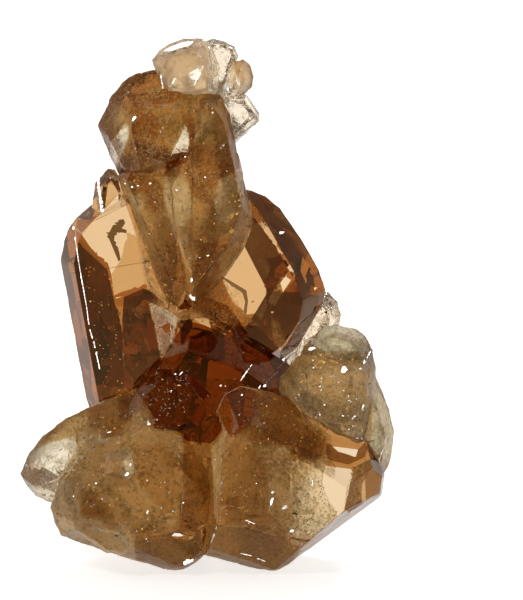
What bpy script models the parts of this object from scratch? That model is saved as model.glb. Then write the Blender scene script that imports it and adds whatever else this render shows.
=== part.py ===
"""A cluster of see-through brown apatite crystals that grew together, with small pale crystals seated on it.

Each crystal is a block cut along its faces. It is laid out as a crystallographer would, by its widest section:
an upright outline, as it shows from the front, that stands a given way back. Each side of the outline carries
one face that leans to the front and one that leans to the back, and end faces close the crystal. Sizes are in
millimetres and angles in degrees: u runs right and v up as seen by someone who looks down by VIEW_TILT, and
back runs away from them.
"""

import math

import bmesh
import bpy
from mathutils import Matrix, Vector

MM = 0.001
VIEW_TILT = math.radians(10)
GROUND = 1.4  # height at which the cluster is cut off flat, so that both front tips just touch the ground
SEAT_GAP = 0.3  # between a pale crystal and the brown face that it sits on
BLOCK = 90.0  # the raw block that a crystal is cut from
NEAR = 0.0005  # two cuts that meet closer than this meet in one corner
LEAN = 28  # how far a side face leans, where a crystal gives nothing else


def seen(u, v, back):
    """The point on the upright plane this far back that shows at (u, v) from the front."""
    return Vector((u, back, (v - back * math.sin(VIEW_TILT)) / math.cos(VIEW_TILT)))


def facing(turn, tip):
    """The direction a face looks in: from facing the front, turned to the right by turn and up by tip."""
    turn = math.radians(turn)
    tip = math.radians(tip)
    return Vector((math.sin(turn) * math.cos(tip), -math.cos(turn) * math.cos(tip), math.sin(tip)))


class Crystal:
    """A convex crystal, kept as its faces: an outward direction, and a distance along it.

    outline  corners (u, v) of the widest section, anticlockwise; a corner may add (front lean, back lean)
             for the side that starts there
    back     how far back the section stands
    ends     faces (turn, tip, reach), each its reach away from the middle of the section
    cuts     faces (turn, tip, u, v, back), each through a point
    """

    def __init__(self, outline, back, ends, lean=LEAN, back_lean=LEAN, cuts=()):
        corners = [seen(*corner[:2], back) for corner in outline]
        self.middle = sum(corners, Vector()) / len(corners)
        self.faces = []
        for i, corner in enumerate(corners):
            along = corners[(i + 1) % len(corners)] - corner
            outward = Vector((along.z, 0, -along.x)).normalized()
            leans = outline[i][2:] or (lean, back_lean)
            for forward, angle in ((-1, leans[0]), (1, leans[1])):
                angle = math.radians(angle)
                self.add(outward * math.cos(angle) + Vector((0, forward, 0)) * math.sin(angle), corner)
        for turn, tip, reach in ends:
            self.add(facing(turn, tip), self.middle + facing(turn, tip) * reach)
        for turn, tip, *point in cuts:
            self.add(facing(turn, tip), seen(*point))

    def add(self, normal, point):
        self.faces.append((normal, normal.dot(point)))

    def mesh(self, name, grown=0.0):
        """The crystal as a mesh in metres, standing on the ground, with every face moved out by grown."""
        bm = bmesh.new()
        bmesh.ops.create_cube(bm, size=BLOCK, matrix=Matrix.Translation(self.middle))
        for normal, distance in self.faces:
            cut_off(bm, normal * (distance + grown), normal)
        cut_off(bm, Vector((0, 0, GROUND)), Vector((0, 0, -1)))
        bmesh.ops.remove_doubles(bm, verts=bm.verts, dist=NEAR)
        bmesh.ops.recalc_face_normals(bm, faces=bm.faces)
        bm.transform(Matrix.Scale(MM, 4) @ Matrix.Translation((0, 0, -GROUND)))
        mesh = bpy.data.meshes.new(name)
        bm.to_mesh(mesh)
        bm.free()
        return mesh


def cut_off(bm, point, normal):
    """Cuts away what lies beyond a plane, and closes the cut with one flat face."""
    everything = bm.verts[:] + bm.edges[:] + bm.faces[:]
    cut = bmesh.ops.bisect_plane(
        bm, geom=everything, dist=NEAR, plane_co=point, plane_no=normal, clear_outer=True
    )
    rim = [part for part in cut["geom_cut"] if isinstance(part, bmesh.types.BMEdge) and part.is_boundary]
    if rim:
        bmesh.ops.contextual_create(bm, geom=rim)


# The brown crystals, from the tower down.

BROWN = {
    "tower_right": Crystal(
        [(-1.1, 22.5, 30, 20), (1.3, 24.6, 30, 20), (3.2, 27.4, 30, 20), (3.95, 29.5, 12, 40),
         (3.2, 33.2, 12, 40), (1.85, 39.3), (1.25, 40.25), (-0.9, 40.6), (-3.6, 33), (-3.5, 30.5),
         (-2.6, 26.5), (-1.6, 23.2)],
        back=-1.6,
        lean=18,
        ends=[(180, 0, 2.6)],
        cuts=[(8, 1, 0.5, 32, -4.3), (-24, 1, -1.2, 32, -4.5)],
    ),
    "tower_left": Crystal(
        [(-3.4, 22.6), (-2.2, 22.3), (-1, 25), (-1.2, 30), (-2, 34), (-3, 37), (-6, 36), (-7.5, 33.4),
         (-4.3, 24.4)],
        back=-1.2,
        ends=[(-12, 3, 2.2), (180, 0, 2.0)],
    ),
    "tower_head": Crystal(
        [(-7.4, 33.6, 20, 35), (-4, 33), (0, 34.5), (1.7, 38), (1.3, 40.2), (-0.3, 41.5), (-3, 42.2),
         (-4.4, 42.35, 42, 30), (-5.9, 42.15, 42, 30), (-7.1, 41.3, 40, 36), (-8, 40.2, 38, 40),
         (-9.2, 37.7, 24, 40), (-8.2, 35.2, 20, 40)],
        back=-0.9,
        ends=[(180, -6, 3.4)],
        cuts=[(-5, 2, -3, 37, -4.3), (0, 34, -3, 39.4, -4.3), (-38, -6, -6.3, 37, -3.9)],
    ),
    "left_blade": Crystal(
        [(-8.4, 4.5), (-3, 3.5), (-1, 20), (-2.4, 29.9), (-6.3, 32.9), (-8.8, 31.7, 20, 20), (-10.1, 30.8, 20, 20),
         (-11, 30, 24, 30), (-11.65, 29.1, 24, 40), (-12.05, 28, 26, 46), (-12.35, 26.4, 26, 46)],
        back=0.8,
        lean=26,
        ends=[(0, 0, 2.4), (180, 2, 3.6)],
    ),
    "blade_plate": Crystal(
        [(-11.2, 28.3), (-8.6, 25.2), (-4, 26), (-3.5, 31), (-7, 32.3), (-8.6, 31.2)],
        back=1.2,
        lean=8,
        back_lean=5,
        ends=[(0, 0, 0.5), (180, 0, 3.7)],
    ),
    "blade_rib": Crystal(
        [(-9.4, 3.2), (-3.2, 2.4), (-1.8, 19.5), (-3.6, 23.6), (-5.4, 24.6), (-8.2, 23.4)],
        back=3.8,
        back_lean=24,
        ends=[(136, 3, 2.3), (-137, 4, 2.2), (0, 0, 2)],
    ),
    "blade_spur": Crystal(
        [(-9.9, 29.6), (-6.8, 29.5), (-6.8, 32.4), (-7.7, 34.05), (-8.3, 34.2), (-9.35, 33.15)],
        back=0.4,
        ends=[(8, 0, 1.2), (-30, 4, 1.5), (180, 0, 1.8)],
    ),
    "right_barrel": Crystal(
        [(0, 17), (5.6, 17.4), (7.7, 19, 30, 40), (9, 21, 30, 44), (9.7, 22.3, 36, 45), (10.05, 23.9, 40, 46),
         (9.5, 25.6, 40, 46), (8, 28.2, 40, 44), (6.2, 30.8, 36, 40), (5, 31.8), (3.5, 32.4), (0.5, 32),
         (-1.6, 28), (-2, 21)],
        back=1.6,
        ends=[(0, 0, 2.4), (180, 3, 4.6)],
    ),
    "barrel_step": Crystal(
        [(5.0, 22.9), (5.8, 22.3), (8.2, 25.6), (7.3, 26.3)],
        back=2.0,
        lean=5,
        back_lean=4,
        ends=[(0, 0, 0.5), (180, 0, 3.0)],
    ),
    "root": Crystal(
        [(-3.5, 17), (3.5, 17), (4.2, 20.5), (2.4, 23.2), (-0.6, 24.4), (-3.6, 23.2), (-4.4, 20)],
        back=0.2,
        lean=34,
        back_lean=30,
        ends=[(10, 20, 2.4), (160, 10, 3.4)],
    ),
    "heart": Crystal(
        [(-6.2, 10), (0, 8), (6, 9), (8, 13), (7.9, 17), (5, 18.9), (1.9, 20.6, 36, 10),
         (-1.25, 21.35, 20, 30), (-6.4, 14.8)],
        back=-1.6,
        ends=[(-4, 12, 4.0), (180, -10, 3.6)],
    ),
    "heart_ledge": Crystal(
        [(-6.8, 13.2), (-4, 11), (0, 12), (1.2, 15.5), (-1, 17.2), (-4, 17.3), (-6, 15.4)],
        back=-4.2,
        ends=[(-12, 20, 2.0), (180, 0, 2)],
    ),
    "left_lobe": Crystal(
        [(-13.2, 5.8), (-9, 5), (-4, 8), (-4, 13.5), (-6.5, 15.4, 50, 20), (-9.9, 14.1, 50, 20),
         (-12, 13, 50, 20), (-13.9, 11.7, 40, 30), (-15, 10.2, 36, 30), (-15.9, 8.4, 20, 26),
         (-15.2, 7.2, 20, 20), (-14.5, 6.4)],
        back=-2.2,
        ends=[(-12, 6, 3.0), (180, 0, 3.0)],
    ),
    "left_foot": Crystal(
        [(-12.35, 3.2, 30, -8), (-8, 1.7, 24, -8), (-2.9, 0.15, 24, -8), (-2, 0.1, 18, -8), (-0.15, 1.55, 8, 0),
         (0.4, 4, 10, 0), (0.6, 8), (-1.6, 11.8, 38, 10), (-5, 12.8, 50, 10), (-9, 11.2, 44, 10),
         (-12.4, 8, 36, 24), (-13.25, 5.6, 30, 24)],
        back=-6.0,
        ends=[(180, 0, 7.0)],
        cuts=[(-4, 6, -7, 6, -9.1), (20, 0, -2.2, 6, -8.9), (0, -24, -5, 3.1, -9.3)],
    ),
    "left_foot_knob": Crystal(
        [(-8.6, 1.9), (-6.9, 1.5), (-6.1, 2.2), (-5.95, 3.1), (-7, 4.2), (-9.4, 4.6), (-11.4, 4)],
        back=-8.2,
        lean=20,
        ends=[(-8, 0, 1.5), (180, 0, 2)],
    ),
    "left_foot_cap": Crystal(
        [(-8.6, 8.4), (-6.6, 7.8), (-5.8, 8.7), (-6.2, 10.3), (-7, 10.7), (-8.4, 10.2)],
        back=-8.4,
        lean=24,
        ends=[(14, 10, 1.4), (180, 0, 2)],
    ),
    "right_foot": Crystal(
        [(-0.15, 1.55, 26, -8), (5.75, -0.05, 20, -8), (14.75, 6.6, 10, 6), (15.0, 8.6, 16, 20),
         (13.4, 11.2, 34, 20), (10.4, 13.2, 44, 20), (6.8, 15.1, 40, 20), (3.3, 15.9, 36, 20),
         (1.6, 15.1, 30, 10), (0.85, 13.4, 16, 0), (0.15, 8, 8, 0)],
        back=-6.2,
        ends=[(180, 0, 7.0)],
        cuts=[(-3, 5, 5, 8, -9.9), (0, -30, 3, 4.3, -10.1), (42, 4, 12.3, 8, -9.6), (10, 38, 6, 12.6, -9.7)],
    ),
    "back_block": Crystal(
        [(-8.5, 2.6), (-5.5, 0.6), (6, 0.6), (9, 3), (9.4, 9), (6.5, 16), (0, 19), (-6.5, 16), (-10.2, 9),
         (-10, 4.5)],
        back=3.2,
        ends=[(139, 6, 4.2), (-141, 5, 4.4), (180, -3, 5.0), (0, 0, 6)],
    ),
    "back_prism": Crystal(
        [(-2, 0.8), (3.4, 0.8), (4.6, 8), (5, 17), (3.6, 20.5), (1.0, 21), (-0.6, 19), (-1.6, 9)],
        back=6.0,
        ends=[(150, 3, 2.8), (-165, 3, 2.8), (0, 0, 2)],
    ),
    "back_stub": Crystal(
        [(-9, 3), (-5, 1.4), (-2, 2.5), (-1.5, 8), (-3.5, 12.5), (-7, 13.5), (-9.4, 10)],
        back=6.4,
        ends=[(-160, 18, 3.0), (160, 4, 3.2), (0, 0, 2)],
    ),
}

# The pale crystals, which grew later on the brown ones.

CROWN = {
    "crown_block": Crystal(
        [(-3.7, 40.3), (-1, 39.8), (1.0, 40.4), (1.15, 42.6), (0.55, 44.2), (-0.3, 44.95), (-1.9, 44.95),
         (-3.1, 44.5), (-4.0, 43.95), (-4.6, 43.1), (-4.1, 41.6)],
        back=-1.4,
        lean=22,
        ends=[(-4, 0, 2.4), (180, 0, 2.2)],
        cuts=[(-6, 52, -1.9, 43.8, -3.6), (36, 10, 0.4, 42.6, -3.5)],
    ),
    "crown_fin": Crystal(
        [(-0.6, 40.8), (1.6, 40.4), (2.75, 43.5), (2.4, 44.35), (1.4, 44.85), (0.5, 45), (-0.5, 44.6)],
        back=0.5,
        lean=16,
        ends=[(16, 6, 1.1), (180, 0, 1.5)],
    ),
    "crown_bead": Crystal(
        [(1.5, 41.7), (2.0, 40.3), (3.1, 40.1), (3.9, 40.95), (4.05, 41.7), (3.7, 42.8), (3.1, 43.3),
         (2.3, 43.1)],
        back=-0.6,
        lean=34,
        ends=[(4, 4, 1.2), (180, 0, 1.3)],
    ),
    "crown_shoulder": Crystal(
        [(0.8, 39.2), (1.7, 37.4), (2.5, 36.15), (4.5, 38.05), (4.5, 38.7), (3.4, 40.3), (1.2, 40.8)],
        back=-0.5,
        lean=14,
        ends=[(10, 0, 1.3), (180, 0, 1.7)],
        cuts=[(40, -24, 3.4, 37.7, -1.7)],
    ),
}
SIDE_SLAB = {
    "slab": Crystal(
        [(6.1, 15.2), (8.0, 13.2), (10.5, 11.6), (12.8, 10.7), (14.0, 11.2), (14.35, 15), (14.25, 17.4),
         (13.9, 18.9), (12, 19.1), (8.6, 18.8), (7.6, 18.3), (6.2, 16.7)],
        back=-5.0,
        lean=20,
        ends=[(180, 0, 4.0)],
        cuts=[(-8, 4, 10.5, 15, -7.9), (34, 2, 13.2, 15, -7.5), (-14, 40, 9.5, 18.1, -7.8)],
    ),
    "slab_cap": Crystal(
        [(8.9, 18.6), (9.6, 17.6), (12, 17.4), (14.0, 17.6), (14.0, 18.9), (13.4, 20.1), (12.6, 20.65),
         (11, 21.05), (9.9, 20.9), (9.0, 19.9)],
        back=-4.8,
        lean=24,
        ends=[(-6, 6, 2.0), (180, 0, 2.4)],
    ),
    "slab_chip": Crystal(
        [(7.9, 18.4), (9.2, 18.4), (9.35, 19.35), (8.75, 19.7), (8.1, 19.25)],
        back=-4.4,
        lean=16,
        ends=[(-10, 8, 1.3), (180, 0, 1.6)],
    ),
    "slab_side": Crystal(
        [(13, 8.6), (15.0, 7.3), (15.6, 9.6), (15.9, 12.0), (15.5, 13.7), (14.2, 17.0), (12.6, 18),
         (11, 14)],
        back=-3.6,
        lean=18,
        ends=[(14, 4, 2.6), (180, 0, 2.8)],
    ),
}
BACK_BUD = {
    "bud": Crystal(
        [(6.3, 17.0), (8.2, 16.6), (10.6, 19.4), (11.3, 20.9), (11.45, 21.8), (11.1, 22.9), (10.4, 23.75),
         (9.6, 23.9), (8.0, 22.6)],
        back=3.0,
        ends=[(0, 0, 1.9), (168, 8, 2.2)],
    ),
}


def collection(name):
    made = bpy.data.collections.new(name)
    bpy.context.scene.collection.children.link(made)
    return made


def place(name, crystal, where, grown=0.0, helper=True):
    """Puts a crystal in a collection. A helper is only there to be joined to another, or to cut it."""
    obj = bpy.data.objects.new(name, crystal.mesh(name, grown))
    where.objects.link(obj)
    obj.hide_render = helper
    if helper:
        obj.display_type = "WIRE"
    return obj


def combine(obj, operation, others):
    boolean = obj.modifiers.new(operation.lower(), "BOOLEAN")
    boolean.operation = operation
    boolean.solver = "EXACT"
    boolean.operand_type = "COLLECTION"
    boolean.collection = others


def crystal_finish(name, colour, roughness):
    material = bpy.data.materials.new(name)
    material.use_nodes = True
    shader = material.node_tree.nodes["Principled BSDF"]
    shader.inputs["Base Color"].default_value = (*colour, 1)
    shader.inputs["Roughness"].default_value = roughness
    shader.inputs["Metallic"].default_value = 0
    material.diffuse_color = (*colour, 1)
    return material


def grow_together(name, crystals, where, finish):
    """One solid of overlapping crystals, in its own node."""
    first, *rest = crystals.items()
    node = place(name, first[1], where, helper=False)
    node.data.materials.append(finish)
    if rest:
        others = collection(name + "_others")
        for other_name, crystal in rest:
            place(other_name, crystal, others)
        combine(node, "UNION", others)
    return node


def centre_on_origin(nodes):
    """Moves everything so that the origin is under the middle of the cluster's box, on the ground."""
    bpy.context.view_layer.update()
    graph = bpy.context.evaluated_depsgraph_get()
    corners = [Vector(c) for node in nodes for c in node.evaluated_get(graph).bound_box]
    low, high = (Vector(pick(c[k] for c in corners) for k in range(3)) for pick in (min, max))
    for obj in bpy.data.objects:
        obj.location = (-(low.x + high.x) / 2, -(low.y + high.y) / 2, -low.z)


def main():
    for obj in list(bpy.data.objects):
        bpy.data.objects.remove(obj)
    cluster = collection("apatite_cluster")
    brown = crystal_finish("brown_apatite", (0.42, 0.22, 0.10), 0.15)
    pale = crystal_finish("pale_crystal", (0.78, 0.74, 0.62), 0.2)
    seats = collection("seats")
    for name, crystal in BROWN.items():
        place("seat_" + name, crystal, seats, grown=SEAT_GAP)
    nodes = [grow_together("brown_cluster", BROWN, cluster, brown)]
    for name, crystals in (("pale_crown", CROWN), ("pale_side_slab", SIDE_SLAB), ("pale_back_bud", BACK_BUD)):
        node = grow_together(name, crystals, cluster, pale)
        combine(node, "DIFFERENCE", seats)
        nodes.append(node)
    centre_on_origin(nodes)


main()
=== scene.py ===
"""The looks of a cluster of see-through brown apatite crystals with small pale crystals seated on it.

Lengths are in millimetres until they are put into a mesh. As seen from the front, u runs right and v up, from
the zero point of the solids' layout.
"""

import math

import bmesh
import bpy
import numpy as np
from mathutils import Matrix, Vector
from mathutils.bvhtree import BVHTree


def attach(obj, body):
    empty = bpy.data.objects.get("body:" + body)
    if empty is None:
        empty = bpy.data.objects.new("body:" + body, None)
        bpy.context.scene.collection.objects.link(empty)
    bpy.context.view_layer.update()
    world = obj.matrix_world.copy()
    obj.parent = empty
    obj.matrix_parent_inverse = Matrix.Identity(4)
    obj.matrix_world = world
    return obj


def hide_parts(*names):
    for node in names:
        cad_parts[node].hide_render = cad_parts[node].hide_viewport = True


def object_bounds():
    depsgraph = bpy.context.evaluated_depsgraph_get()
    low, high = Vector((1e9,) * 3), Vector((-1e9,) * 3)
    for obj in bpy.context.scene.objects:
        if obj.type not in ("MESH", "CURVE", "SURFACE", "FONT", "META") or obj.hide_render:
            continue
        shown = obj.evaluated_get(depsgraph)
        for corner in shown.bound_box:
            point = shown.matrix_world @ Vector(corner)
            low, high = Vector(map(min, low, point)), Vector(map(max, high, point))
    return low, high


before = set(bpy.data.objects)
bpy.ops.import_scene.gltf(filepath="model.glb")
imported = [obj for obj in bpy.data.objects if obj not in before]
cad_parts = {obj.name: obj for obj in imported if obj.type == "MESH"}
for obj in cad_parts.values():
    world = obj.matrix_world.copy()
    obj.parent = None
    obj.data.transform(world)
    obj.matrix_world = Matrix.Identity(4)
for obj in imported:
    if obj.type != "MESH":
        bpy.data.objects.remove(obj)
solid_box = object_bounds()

MM = 0.001

# The stage: a pale floor that glows more behind the cluster than in front of it, a surround that is white low
# down and behind, and dim overhead and in front so that the faces don't glare, and two soft lamps. The camera
# looks down by ten degrees, as in the photograph.

VIEW_TILT = math.radians(10)
PIXEL = 0.085  # size of a picture point on the cluster
PICTURE = (523, 600)
AXIS_PIXEL = (207, 571)  # the picture point where u and v are 0
FLOOR_SIZE = 4000
FLOOR_DROP = 0.1  # keeps the floor clear of the flat base
FLOOR_GLOW = (0.12, 0.72)  # in front of the cluster and from its middle on
GLOW_REACH = (-130, -5)
LAMP_AIM = Vector((0, 0, 20))
FRONT_LIGHT = (0.32, 0.25, 0.15)  # the surround in front, next to white behind
LIGHT_BOUNCES = 24
MIX_SOCKETS = {"FLOAT": (0, 2, 3, 0), "RGBA": (0, 6, 7, 2)}  # factor, two values, and result
LAYOUT_SHIFT = Vector((0, 0.022, -1.4))  # from the layout of the solids to their place on the ground
CAMERA_AWAY = 600
SENSOR = 36
RIGHT = Vector((1, 0, 0))
UP = Vector((0, math.sin(VIEW_TILT), math.cos(VIEW_TILT)))
AHEAD = Vector((0, math.cos(VIEW_TILT), -math.sin(VIEW_TILT)))


def add(tree, kind, inputs=None, **settings):
    """A new shader node: its settings by name, and its inputs as values, or as sockets to link."""
    made = tree.nodes.new(kind)
    for name, value in settings.items():
        setattr(made, name, value)
    for name, value in (inputs or {}).items():
        if isinstance(value, bpy.types.NodeSocket):
            tree.links.new(value, made.inputs[name])
        else:
            made.inputs[name].default_value = value
    return made


def ramp(tree, factor, stops):
    """A colour ramp through (place, colour) stops."""
    made = add(tree, "ShaderNodeValToRGB", {"Fac": factor})
    elements = made.color_ramp.elements
    while len(elements) < len(stops):
        elements.new(0.5)
    for element, (place, colour) in zip(elements, stops):
        element.position = place
        element.color = (*colour, 1)
    return made.outputs["Color"]


def span(tree, value, reach, to):
    """A value carried over from one range to another and kept within it."""
    made = add(tree, "ShaderNodeMapRange", {
        "Value": value, "From Min": reach[0], "From Max": reach[1], "To Min": to[0], "To Max": to[1]})
    return made.outputs["Result"]


def mix(tree, factor, one, other, kind="FLOAT", blend="MIX"):
    """Two numbers or colours mixed by a factor."""
    *sockets, result = MIX_SOCKETS[kind]
    values = dict(zip(sockets, (factor, one, other)))
    return add(tree, "ShaderNodeMix", values, data_type=kind, blend_type=blend).outputs[result]


def grey(value):
    return (value, value, value)


def stage_floor():
    bpy.ops.mesh.primitive_plane_add(size=FLOOR_SIZE * MM, location=(0, 0, -FLOOR_DROP * MM))
    floor = bpy.context.object
    floor.name = "floor"
    material = bpy.data.materials.new("pale_floor")
    material.use_nodes = True
    shader = material.node_tree.nodes["Principled BSDF"]
    shader.inputs["Base Color"].default_value = (0.9, 0.9, 0.9, 1)
    shader.inputs["Roughness"].default_value = 0.9
    shader.inputs["Emission Color"].default_value = (1, 1, 1, 1)
    tree = material.node_tree
    where = add(tree, "ShaderNodeTexCoord").outputs["Object"]
    behind = add(tree, "ShaderNodeSeparateXYZ", {"Vector": where}).outputs["Y"]
    glow = span(tree, behind, [end * MM for end in GLOW_REACH], FLOOR_GLOW)
    tree.links.new(glow, shader.inputs["Emission Strength"])
    floor.data.materials.append(material)


def stage_light():
    world = bpy.data.worlds.new("surround")
    world.use_nodes = True
    bpy.context.scene.world = world
    tree = world.node_tree
    ways = add(tree, "ShaderNodeTexCoord").outputs["Generated"]
    parts = add(tree, "ShaderNodeSeparateXYZ", {"Vector": ways}).outputs
    tone = ramp(tree, parts["Z"], [(0.34, grey(1.0)), (0.7, grey(0.5))])
    warm = ramp(tree, span(tree, parts["Y"], (-0.3, 0.3), (0, 1)), [(0.0, FRONT_LIGHT), (1.0, grey(1.0))])
    tree.links.new(mix(tree, 1, tone, warm, "RGBA", "MULTIPLY"), tree.nodes["Background"].inputs["Color"])
    for name, place, power, size in (
        ("key_lamp", (-150, -190, 250), 0.16, 0.05),
        ("rim_lamp", (120, 170, 220), 0.2, 0.06),
    ):
        data = bpy.data.lights.new(name, "AREA")
        data.energy = power
        data.size = size
        lamp = bpy.data.objects.new(name, data)
        lamp.location = Vector(place) * MM
        lamp.rotation_euler = (LAMP_AIM * MM - lamp.location).to_track_quat("-Z", "Y").to_euler()
        bpy.context.scene.collection.objects.link(lamp)


def stage_camera():
    middle = RIGHT * (PICTURE[0] / 2 - AXIS_PIXEL[0]) * PIXEL
    middle += UP * (AXIS_PIXEL[1] - PICTURE[1] / 2) * PIXEL
    data = bpy.data.cameras.new("camera")
    data.sensor_width = SENSOR
    data.lens = SENSOR * CAMERA_AWAY / (PICTURE[1] * PIXEL)
    camera = bpy.data.objects.new("camera", data)
    turned = Matrix((RIGHT, UP, -AHEAD)).transposed().to_4x4()
    turned.translation = (middle + LAYOUT_SHIFT - AHEAD * CAMERA_AWAY) * MM
    camera.matrix_world = turned
    bpy.context.scene.collection.objects.link(camera)
    bpy.context.scene.camera = camera


stage_floor()
stage_light()
stage_camera()
bpy.context.scene.view_settings.view_transform = "Standard"
bpy.context.scene.cycles.max_bounces = LIGHT_BOUNCES
bpy.context.scene.cycles.transmission_bounces = LIGHT_BOUNCES

# The brown crystals: one clear, smoky mass grown together. Blade, barrel and the end of the right foot kept
# flat, bright growth faces. Tower, head and the rest of the feet were etched, which left tilted plates, pits
# and a matt skin. The skin is the solid's own faces, cut small and worked inwards.

MERGE = 0.001  # corners closer than this are one
BROWN_EDGE = 0.45  # the longest edge of the fine mesh
FLAT = math.radians(0.2)  # faces that turn by less are one flat face
CREASE = math.radians(20)  # edges that turn by more are sharp
SIDE_ON = 0.05  # a face turned further from the viewer than this isn't cut along outlines
WAVES = 14  # how many waves make a swell
ON_LINE = 0.03  # corners this near to an outline count as on it
TINY = 1e-12


def flat_faces(node):
    """A node's solid as corner places and triangles, with its flat faces put together and parted evenly."""
    bm = bmesh.new()
    bm.from_mesh(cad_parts[node].data)
    bmesh.ops.remove_doubles(bm, verts=bm.verts, dist=MERGE * MM)
    bmesh.ops.dissolve_limit(bm, angle_limit=FLAT, verts=bm.verts, edges=bm.edges)
    bmesh.ops.triangulate(bm, faces=bm.faces, ngon_method="BEAUTY")
    places = np.array([v.co for v in bm.verts]) / MM
    corners = np.array([[v.index for v in f.verts] for f in bm.faces])
    bm.free()
    return places, corners


def edges_of(corners):
    """The edges as pairs of corners, and for each triangle the numbers of its three edges."""
    sides = np.sort(corners[:, [[0, 1], [1, 2], [2, 0]]].reshape(-1, 2), axis=1)
    edges, number = np.unique(sides, axis=0, return_inverse=True)
    return edges, number.reshape(-1, 3)


def turned(corners, middle, first):
    """Triangles and the points on their edges, with edge number first brought to the front."""
    order = (first[:, None] + np.arange(3)) % 3
    return np.take_along_axis(corners, order, 1), np.take_along_axis(middle, order, 1)


def parted(places, corners, number, cut, points):
    """Puts points on the edges marked in cut, and parts each triangle that has one, two or three of them."""
    new_point = np.full(len(cut), -1)
    new_point[cut] = len(places) + np.arange(cut.sum())
    places = np.vstack([places, points])
    middle = new_point[number]
    count = (middle >= 0).sum(axis=1)
    parts = [corners[count == 0]]
    one, points_of_one = corners[count == 1], middle[count == 1]
    (a, b, c), (m, _, _) = (x.T for x in turned(one, points_of_one, (points_of_one >= 0).argmax(axis=1)))
    parts += [np.stack(t, 1) for t in ((a, m, c), (m, b, c))]
    two, points_of_two = corners[count == 2], middle[count == 2]
    (a, b, c), (_, m, n) = (x.T for x in turned(two, points_of_two, (points_of_two < 0).argmax(axis=1)))
    nearer = np.linalg.norm(places[a] - places[m], axis=1) < np.linalg.norm(places[b] - places[n], axis=1)
    rest = ((c, n, m), (a, b, np.where(nearer, m, n)), (np.where(nearer, a, b), m, n))
    parts += [np.stack(t, 1) for t in rest]
    (a, b, c), (m, n, o) = corners[count == 3].T, middle[count == 3].T
    parts += [np.stack(t, 1) for t in ((a, m, o), (m, b, n), (o, n, c), (m, n, o))]
    return places, np.vstack(parts)


def cut_small(places, corners, longest):
    """Halves the edges that are over longest, until none is."""
    while True:
        edges, number = edges_of(corners)
        cut = np.linalg.norm(places[edges[:, 0]] - places[edges[:, 1]], axis=1) > longest
        if not cut.any():
            return places, corners
        places, corners = parted(places, corners, number, cut, places[edges[cut]].mean(axis=1))


def from_front(places):
    """u and v of places, and how far they lie behind the plane through the middle of the cluster."""
    there = places - np.array(LAYOUT_SHIFT)
    return there @ np.array(RIGHT), there @ np.array(UP), there @ np.array(AHEAD)


def cut_along(places, corners, outline):
    """Cuts the faces that show from the front along an outline's sides, so that its border is straight."""
    for start, end in zip(outline, outline[1:] + outline[:1]):
        edges, number = edges_of(corners)
        shows = directions_of(places, corners)[0] @ np.array(AHEAD) < -SIDE_ON
        hidden = np.zeros(len(edges), bool)
        hidden[number[~shows].ravel()] = True
        u, v, _ = from_front(places)
        way = np.subtract(end, start)
        length = np.linalg.norm(way)
        along = ((u - start[0]) * way[0] + (v - start[1]) * way[1]) / length
        aside = ((u - start[0]) * way[1] - (v - start[1]) * way[0]) / length
        one, other = aside[edges].T
        share = one / np.where(one == other, 1, one - other)
        reached = along[edges[:, 0]] * (1 - share) + along[edges[:, 1]] * share
        cut = ~hidden & (one * other < 0) & (np.minimum(abs(one), abs(other)) > ON_LINE)
        cut &= (reached > -ON_LINE) & (reached < length + ON_LINE)
        first, second = places[edges[cut]].transpose(1, 0, 2)
        points = first + (second - first) * share[cut, None]
        places, corners = parted(places, corners, number, cut, points)
    return places, corners


def within(u, v, outline):
    """Whether points lie in an outline: a line from there to the right crosses it an odd number of times."""
    inside = np.zeros(len(u), bool)
    for (u0, v0), (u1, v1) in zip(outline, outline[1:] + outline[:1]):
        if v0 != v1:
            inside ^= ((v0 > v) != (v1 > v)) & (u < u0 + (v - v0) * (u1 - u0) / (v1 - v0))
    return inside


def directions_of(places, corners):
    """Each triangle's normal, and each corner's: the sum of the triangles' round it, by their areas."""
    a, b, c = (places[corners[:, k]] for k in range(3))
    across = np.cross(b - a, c - a)
    at_corner = np.zeros_like(places)
    for k in range(3):
        np.add.at(at_corner, corners[:, k], across)
    return tuple(x / np.maximum(np.linalg.norm(x, axis=1, keepdims=True), TINY) for x in (across, at_corner))


def on_outer_edge(places, corners, normals):
    """1 for corners on a sharp edge that stands out, 0 for the others."""
    edges, number = edges_of(corners)
    beside = np.argsort(number.ravel(), kind="stable").reshape(-1, 2) // 3
    one, other = beside.T
    middles = places[corners].mean(axis=1)
    bend = (normals[one] * normals[other]).sum(axis=1) < math.cos(CREASE)
    out = ((middles[other] - middles[one]) * normals[one]).sum(axis=1) < 0
    sharp = np.zeros(len(places))
    sharp[edges[bend & out]] = 1
    return sharp


def chance(corner, seed, count):
    """For each whole-number corner, count random numbers from 0 to 1 that are the same ones each time."""
    steps = np.array([73856093, 19349663, 83492791], dtype=np.int64)
    key = (corner.astype(np.int64) * steps).sum(axis=1) + seed * 2654435761
    lots = []
    for k in range(count):
        mixed = (key + k * 40503) & 0xFFFFFFFF
        mixed = ((mixed ^ (mixed >> 15)) * 2246822519) & 0xFFFFFFFF
        mixed = ((mixed ^ (mixed >> 13)) * 3266489917) & 0xFFFFFFFF
        lots.append((mixed ^ (mixed >> 16)) / 0xFFFFFFFF)
    return np.stack(lots, axis=1)


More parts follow.
